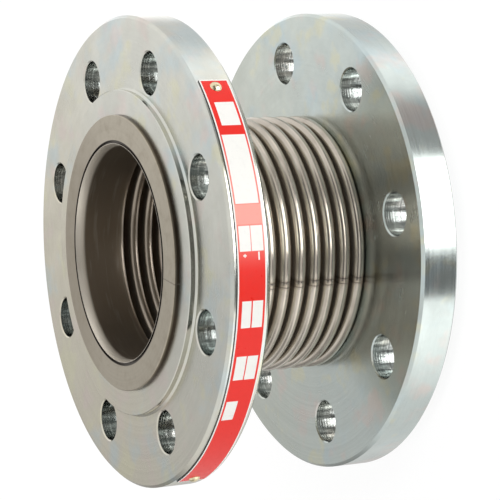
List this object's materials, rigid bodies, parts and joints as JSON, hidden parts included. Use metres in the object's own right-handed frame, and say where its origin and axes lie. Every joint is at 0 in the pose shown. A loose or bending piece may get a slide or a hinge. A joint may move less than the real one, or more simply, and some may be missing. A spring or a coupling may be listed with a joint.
{
  "type": "axial expansion joint",
  "caption": "Pipeline expansion joint: a corrugated steel bellows between drilled loose flanges, with lap rings at its ends and a pinned strip on one rim.",
  "frame": {"origin": "centre of the rear lap ring's sealing face, which the joint stands on", "axes": "+Z along the pipe's axis from the rear end to the front end, which carries the rating strip; +X through the middle between two bolt holes of the front flange, on the side of the strip"},
  "size_m": [0.2005, 0.2, 0.112],
  "materials": {
    "plated_steel": "turned steel with a pale zinc plating, faint bluish, pink and yellow tints",
    "stainless_ring": "matt pickled stainless steel, warm beige grey",
    "stainless_bellows": "satin rolled stainless sheet, warm grey",
    "printed_strip": "thin metal strip printed red with blank white fields and a white border",
    "pin_brass": "bright brass-plated drive pin"
  },
  "bodies": {
    "rear_end": {"rear_ring": "stainless_ring", "bellows": "stainless_bellows"},
    "front_end": {"front_ring": "stainless_ring"},
    "rear_flange": {"rear_flange": "plated_steel"},
    "front_flange": {"front_flange": "plated_steel", "rating_strip": "printed_strip", "upper_drive_pin": "pin_brass", "lower_drive_pin": "pin_brass"}
  },
  "joints": [
    {"name": "axial_travel", "type": "slide", "parent": "rear_end", "child": "front_end", "axis": [0, 0, 1], "range_m": [-0.02, 0.01], "stiffness_N_per_m": 80000, "springref_m": 0.0005, "deforming": ["bellows"]},
    {"name": "rear_flange_swivel", "type": "hinge", "parent": "rear_end", "child": "rear_flange", "pos_m": [0, 0, 0.0135], "axis": [0, 0, 1], "continuous": true},
    {"name": "front_flange_swivel", "type": "hinge", "parent": "front_end", "child": "front_flange", "pos_m": [0, 0, 0.0985], "axis": [0, 0, 1], "continuous": true}
  ]
}
